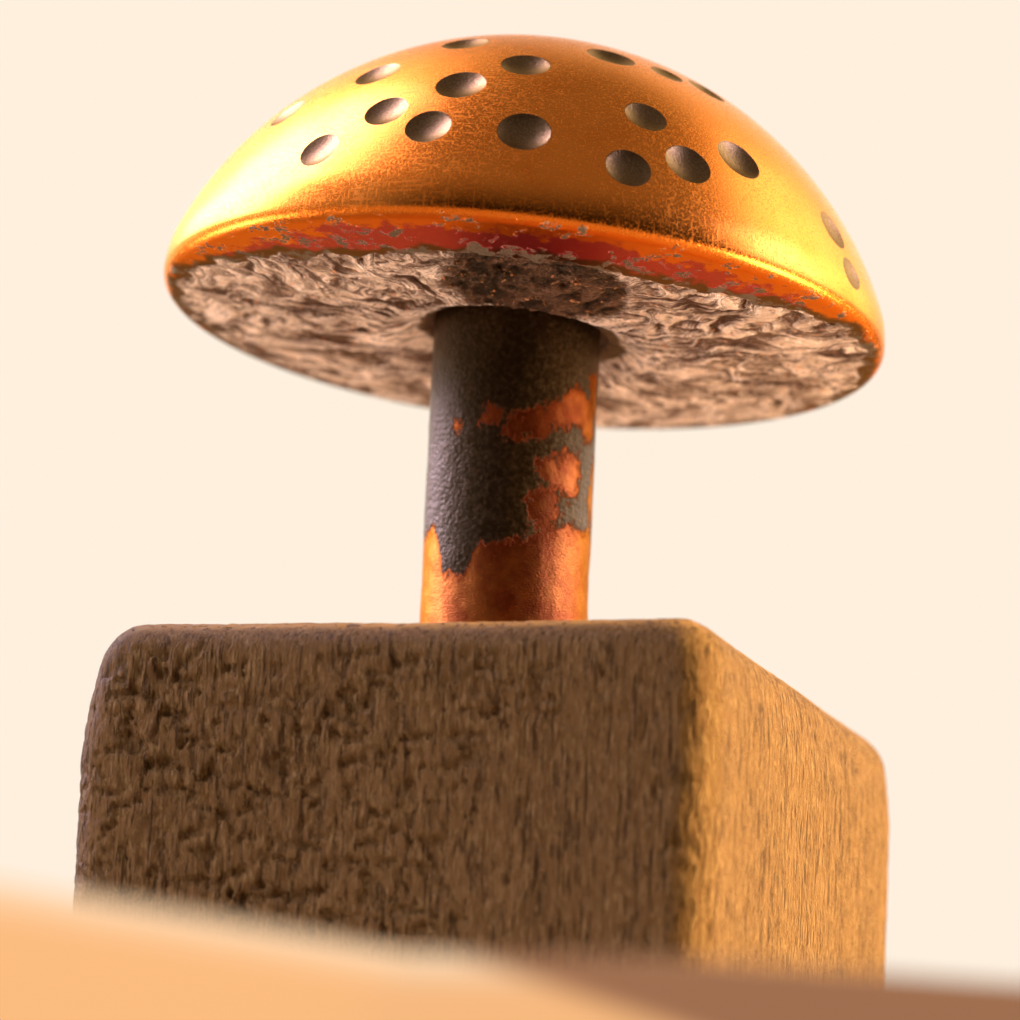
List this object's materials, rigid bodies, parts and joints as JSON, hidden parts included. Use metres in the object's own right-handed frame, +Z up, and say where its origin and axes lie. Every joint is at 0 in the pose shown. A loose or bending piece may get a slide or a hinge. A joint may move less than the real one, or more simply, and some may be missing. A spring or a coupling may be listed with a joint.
{
  "type": "bookbinding awl",
  "caption": "Palm awl with a dimpled mushroom-shaped copper head on a copper rod, parked point-down in a hardwood rest block; it turns in the block and lifts out.",
  "frame": {"origin": "centre of the stand's resting face, on the stem's axis", "axes": "+Z up along the awl's stem, -Y towards the block's front face, +X to the right seen from the front"},
  "size_m": [0.052, 0.0519, 0.0866],
  "materials": {
    "cast_copper": "satin-polished cast copper dome with dark oxidised dimples and rough dark underside",
    "copper_rod": "copper rod with dark fire scale, bright at the foot",
    "blade_steel": "ground and polished tool steel",
    "screw_steel": "black oxide steel",
    "hardwood": "bare brown hardwood, coarse upright grain, rough sawn face",
    "pad_leather": "brown vegetable-tanned leather",
    "cork": "natural cork"
  },
  "bodies": {
    "stand": {"block": "hardwood", "base_pad": "pad_leather"},
    "cork": {"tip_cork": "cork"},
    "awl": {"cap": "cast_copper", "stem": "copper_rod", "blade": "blade_steel", "blade_screw": "screw_steel"}
  },
  "joints": [
    {"name": "awl_turn", "type": "hinge", "parent": "stand", "child": "cork", "pos_m": [0, 0, 0.0055], "axis": [0, 0, 1], "continuous": true},
    {"name": "awl_lift", "type": "slide", "parent": "cork", "child": "awl", "axis": [0, 0, 1], "range_m": [0, 0.036]}
  ]
}
